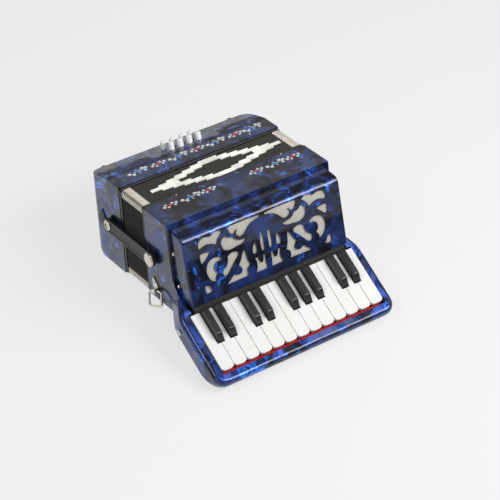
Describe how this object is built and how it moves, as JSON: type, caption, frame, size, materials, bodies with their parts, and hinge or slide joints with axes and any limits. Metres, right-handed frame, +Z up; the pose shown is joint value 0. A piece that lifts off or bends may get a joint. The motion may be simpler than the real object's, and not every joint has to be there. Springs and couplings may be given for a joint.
{
  "type": "piano accordion",
  "caption": "Small piano accordion in blue pearl celluloid, bellows closed, lying on its back with the keyboard in front.",
  "frame": {"origin": "middle of the bounding box, on the floor that the closed instrument lies on", "axes": "+X along the keyboard from the low keys to the high keys, +Y from the keyboard to the bass side, +Z up; the instrument lies tilted, so its own width and depth axes are turned about X by -10.87 degrees"},
  "size_m": [0.2934, 0.3652, 0.1668],
  "materials": {
    "celluloid": "polished blue pearl celluloid over wood",
    "white_celluloid": "polished white celluloid",
    "black_plastic": "satin black plastic",
    "grille_cloth": "grey ribbed cloth",
    "black_felt": "black felt",
    "red_felt": "red felt",
    "nickel": "warm nickel plate",
    "bellows_cloth": "black bellows cloth on card",
    "leather": "black leather",
    "pearl_plastic": "white pearl plastic",
    "rubber": "black rubber",
    "wood": "pale spruce and beech"
  },
  "bodies": {
    "treble": {"treble_casing": "celluloid", "keyboard_bed": "celluloid", "grille_cover": "celluloid", "grille_cloth": "grille_cloth", "dust_strip": "black_felt", "key_felt": "red_felt", "key_axle": "nickel", "treble_soundboard": "wood", "treble_reed_block": "wood", "bellows": "bellows_cloth", "treble_bellows_frame": "black_plastic", "strap_bracket_left": "nickel", "strap_bracket_right": "nickel"},
    "bass": {"bass_casing": "celluloid", "bass_end_plate": "celluloid", "bass_bellows_frame": "black_plastic", "bass_soundboard": "wood", "bass_reed_block": "wood", "bass_hand_strap": "leather", "rubber_foot_1": "rubber", "rubber_foot_2": "rubber", "rubber_foot_3": "rubber", "rubber_foot_4": "rubber"},
    "air_button": {"air_button": "pearl_plastic"},
    "white_key_01": {"white_key_01": "white_celluloid"},
    "white_key_02": {"white_key_02": "white_celluloid"},
    "white_key_03": {"white_key_03": "white_celluloid"},
    "white_key_04": {"white_key_04": "white_celluloid"},
    "white_key_05": {"white_key_05": "white_celluloid"},
    "white_key_06": {"white_key_06": "white_celluloid"},
    "white_key_07": {"white_key_07": "white_celluloid"},
    "white_key_08": {"white_key_08": "white_celluloid"},
    "white_key_09": {"white_key_09": "white_celluloid"},
    "white_key_10": {"white_key_10": "white_celluloid"},
    "white_key_11": {"white_key_11": "white_celluloid"},
    "white_key_12": {"white_key_12": "white_celluloid"},
    "white_key_13": {"white_key_13": "white_celluloid"},
    "black_key_01": {"black_key_01": "black_plastic"},
    "black_key_02": {"black_key_02": "black_plastic"},
    "black_key_03": {"black_key_03": "black_plastic"},
    "black_key_04": {"black_key_04": "black_plastic"},
    "black_key_05": {"black_key_05": "black_plastic"},
    "black_key_06": {"black_key_06": "black_plastic"},
    "black_key_07": {"black_key_07": "black_plastic"},
    "black_key_08": {"black_key_08": "black_plastic"},
    "black_key_09": {"black_key_09": "black_plastic"},
    "bass_button_1": {"bass_button_1": "pearl_plastic"},
    "bass_button_2": {"bass_button_2": "pearl_plastic"},
    "bass_button_3": {"bass_button_3": "pearl_plastic"},
    "bass_button_4": {"bass_button_4": "pearl_plastic"},
    "bass_button_5": {"bass_button_5": "pearl_plastic"},
    "bass_button_6": {"bass_button_6": "pearl_plastic"},
    "bass_button_7": {"bass_button_7": "pearl_plastic"},
    "bass_button_8": {"bass_button_8": "pearl_plastic"},
    "bellows_strap_left": {"bellows_strap_left": "leather", "strap_snap_left": "nickel"},
    "strap_ring_left": {"strap_ring_left": "nickel"},
    "bellows_strap_right": {"bellows_strap_right": "leather", "strap_snap_right": "nickel"},
    "strap_ring_right": {"strap_ring_right": "nickel"}
  },
  "joints": [
    {"name": "white_key_01_rock", "type": "hinge", "parent": "treble", "child": "white_key_01", "pos_m": [0, -0.08657, 0.03839], "axis": [1, 0, 0], "range_deg": [0, 2.9], "stiffness_Nm_per_rad": 0.3, "springref_deg": -11.46},
    {"name": "white_key_02_rock", "type": "hinge", "parent": "treble", "child": "white_key_02", "pos_m": [0, -0.08657, 0.03839], "axis": [1, 0, 0], "range_deg": [0, 2.9], "stiffness_Nm_per_rad": 0.3, "springref_deg": -11.46},
    {"name": "white_key_03_rock", "type": "hinge", "parent": "treble", "child": "white_key_03", "pos_m": [0, -0.08657, 0.03839], "axis": [1, 0, 0], "range_deg": [0, 2.9], "stiffness_Nm_per_rad": 0.3, "springref_deg": -11.46},
    {"name": "white_key_04_rock", "type": "hinge", "parent": "treble", "child": "white_key_04", "pos_m": [0, -0.08657, 0.03839], "axis": [1, 0, 0], "range_deg": [0, 2.9], "stiffness_Nm_per_rad": 0.3, "springref_deg": -11.46},
    {"name": "white_key_05_rock", "type": "hinge", "parent": "treble", "child": "white_key_05", "pos_m": [0, -0.08657, 0.03839], "axis": [1, 0, 0], "range_deg": [0, 2.9], "stiffness_Nm_per_rad": 0.3, "springref_deg": -11.46},
    {"name": "white_key_06_rock", "type": "hinge", "parent": "treble", "child": "white_key_06", "pos_m": [0, -0.08657, 0.03839], "axis": [1, 0, 0], "range_deg": [0, 2.9], "stiffness_Nm_per_rad": 0.3, "springref_deg": -11.46},
    {"name": "white_key_07_rock", "type": "hinge", "parent": "treble", "child": "white_key_07", "pos_m": [0, -0.08657, 0.03839], "axis": [1, 0, 0], "range_deg": [0, 2.9], "stiffness_Nm_per_rad": 0.3, "springref_deg": -11.46},
    {"name": "white_key_08_rock", "type": "hinge", "parent": "treble", "child": "white_key_08", "pos_m": [0, -0.08657, 0.03839], "axis": [1, 0, 0], "range_deg": [0, 2.9], "stiffness_Nm_per_rad": 0.3, "springref_deg": -11.46},
    {"name": "white_key_09_rock", "type": "hinge", "parent": "treble", "child": "white_key_09", "pos_m": [0, -0.08657, 0.03839], "axis": [1, 0, 0], "range_deg": [0, 2.9], "stiffness_Nm_per_rad": 0.3, "springref_deg": -11.46},
    {"name": "white_key_10_rock", "type": "hinge", "parent": "treble", "child": "white_key_10", "pos_m": [0, -0.08657, 0.03839], "axis": [1, 0, 0], "range_deg": [0, 2.9], "stiffness_Nm_per_rad": 0.3, "springref_deg": -11.46},
    {"name": "white_key_11_rock", "type": "hinge", "parent": "treble", "child": "white_key_11", "pos_m": [0, -0.08657, 0.03839], "axis": [1, 0, 0], "range_deg": [0, 2.9], "stiffness_Nm_per_rad": 0.3, "springref_deg": -11.46},
    {"name": "white_key_12_rock", "type": "hinge", "parent": "treble", "child": "white_key_12", "pos_m": [0, -0.08657, 0.03839], "axis": [1, 0, 0], "range_deg": [0, 2.9], "stiffness_Nm_per_rad": 0.3, "springref_deg": -11.46},
    {"name": "white_key_13_rock", "type": "hinge", "parent": "treble", "child": "white_key_13", "pos_m": [0, -0.08657, 0.03839], "axis": [1, 0, 0], "range_deg": [0, 2.9], "stiffness_Nm_per_rad": 0.3, "springref_deg": -11.46},
    {"name": "black_key_01_rock", "type": "hinge", "parent": "treble", "child": "black_key_01", "pos_m": [0, -0.08657, 0.03839], "axis": [1, 0, 0], "range_deg": [0, 3.6], "stiffness_Nm_per_rad": 0.3, "springref_deg": -11.46},
    {"name": "black_key_02_rock", "type": "hinge", "parent": "treble", "child": "black_key_02", "pos_m": [0, -0.08657, 0.03839], "axis": [1, 0, 0], "range_deg": [0, 3.6], "stiffness_Nm_per_rad": 0.3, "springref_deg": -11.46},
    {"name": "black_key_03_rock", "type": "hinge", "parent": "treble", "child": "black_key_03", "pos_m": [0, -0.08657, 0.03839], "axis": [1, 0, 0], "range_deg": [0, 3.6], "stiffness_Nm_per_rad": 0.3, "springref_deg": -11.46},
    {"name": "black_key_04_rock", "type": "hinge", "parent": "treble", "child": "black_key_04", "pos_m": [0, -0.08657, 0.03839], "axis": [1, 0, 0], "range_deg": [0, 3.6], "stiffness_Nm_per_rad": 0.3, "springref_deg": -11.46},
    {"name": "black_key_05_rock", "type": "hinge", "parent": "treble", "child": "black_key_05", "pos_m": [0, -0.08657, 0.03839], "axis": [1, 0, 0], "range_deg": [0, 3.6], "stiffness_Nm_per_rad": 0.3, "springref_deg": -11.46},
    {"name": "black_key_06_rock", "type": "hinge", "parent": "treble", "child": "black_key_06", "pos_m": [0, -0.08657, 0.03839], "axis": [1, 0, 0], "range_deg": [0, 3.6], "stiffness_Nm_per_rad": 0.3, "springref_deg": -11.46},
    {"name": "black_key_07_rock", "type": "hinge", "parent": "treble", "child": "black_key_07", "pos_m": [0, -0.08657, 0.03839], "axis": [1, 0, 0], "range_deg": [0, 3.6], "stiffness_Nm_per_rad": 0.3, "springref_deg": -11.46},
    {"name": "black_key_08_rock", "type": "hinge", "parent": "treble", "child": "black_key_08", "pos_m": [0, -0.08657, 0.03839], "axis": [1, 0, 0], "range_deg": [0, 3.6], "stiffness_Nm_per_rad": 0.3, "springref_deg": -11.46},
    {"name": "black_key_09_rock", "type": "hinge", "parent": "treble", "child": "black_key_09", "pos_m": [0, -0.08657, 0.03839], "axis": [1, 0, 0], "range_deg": [0, 3.6], "stiffness_Nm_per_rad": 0.3, "springref_deg": -11.46},
    {"name": "bellows_slide", "type": "slide", "parent": "treble", "child": "bass", "axis": [0, 0.9821, -0.1886], "range_m": [0, 0.25], "deforming": ["bellows"]},
    {"name": "bass_button_1_push", "type": "slide", "parent": "bass", "child": "bass_button_1", "axis": [0, -0.4173, -0.9087], "range_m": [0, 0.0045], "stiffness_N_per_m": 250, "springref_m": -0.004},
    {"name": "bass_button_2_push", "type": "slide", "parent": "bass", "child": "bass_button_2", "axis": [0, -0.4173, -0.9087], "range_m": [0, 0.0045], "stiffness_N_per_m": 250, "springref_m": -0.004},
    {"name": "bass_button_3_push", "type": "slide", "parent": "bass", "child": "bass_button_3", "axis": [0, -0.4173, -0.9087], "range_m": [0, 0.0045], "stiffness_N_per_m": 250, "springref_m": -0.004},
    {"name": "bass_button_4_push", "type": "slide", "parent": "bass", "child": "bass_button_4", "axis": [0, -0.4173, -0.9087], "range_m": [0, 0.0045], "stiffness_N_per_m": 250, "springref_m": -0.004},
    {"name": "bass_button_5_push", "type": "slide", "parent": "bass", "child": "bass_button_5", "axis": [0, -0.4173, -0.9087], "range_m": [0, 0.0045], "stiffness_N_per_m": 250, "springref_m": -0.004},
    {"name": "bass_button_6_push", "type": "slide", "parent": "bass", "child": "bass_button_6", "axis": [0, -0.4173, -0.9087], "range_m": [0, 0.0045], "stiffness_N_per_m": 250, "springref_m": -0.004},
    {"name": "bass_button_7_push", "type": "slide", "parent": "bass", "child": "bass_button_7", "axis": [0, -0.4173, -0.9087], "range_m": [0, 0.0045], "stiffness_N_per_m": 250, "springref_m": -0.004},
    {"name": "bass_button_8_push", "type": "slide", "parent": "bass", "child": "bass_button_8", "axis": [0, -0.4173, -0.9087], "range_m": [0, 0.0045], "stiffness_N_per_m": 250, "springref_m": -0.004},
    {"name": "air_button_push", "type": "slide", "parent": "bass", "child": "air_button", "axis": [0, -0.9821, 0.1886], "range_m": [0, 0.004], "stiffness_N_per_m": 300, "springref_m": -0.004},
    {"name": "bellows_strap_left_swing", "type": "hinge", "parent": "bass", "child": "bellows_strap_left", "pos_m": [-0.133, 0.10612, 0.07289], "axis": [-1, 0, 0], "range_deg": [0, 75]},
    {"name": "strap_ring_left_swing", "type": "hinge", "parent": "treble", "child": "strap_ring_left", "pos_m": [-0.1331, -0.01012, 0.0446], "axis": [0, 0.8204, -0.5717], "range_deg": [-16, 74]},
    {"name": "bellows_strap_right_swing", "type": "hinge", "parent": "bass", "child": "bellows_strap_right", "pos_m": [0.133, 0.10612, 0.07289], "axis": [-1, 0, 0], "range_deg": [0, 75]},
    {"name": "strap_ring_right_swing", "type": "hinge", "parent": "treble", "child": "strap_ring_right", "pos_m": [0.1331, -0.01012, 0.0446], "axis": [0, 0.8204, -0.5717], "range_deg": [-74, 16]}
  ]
}
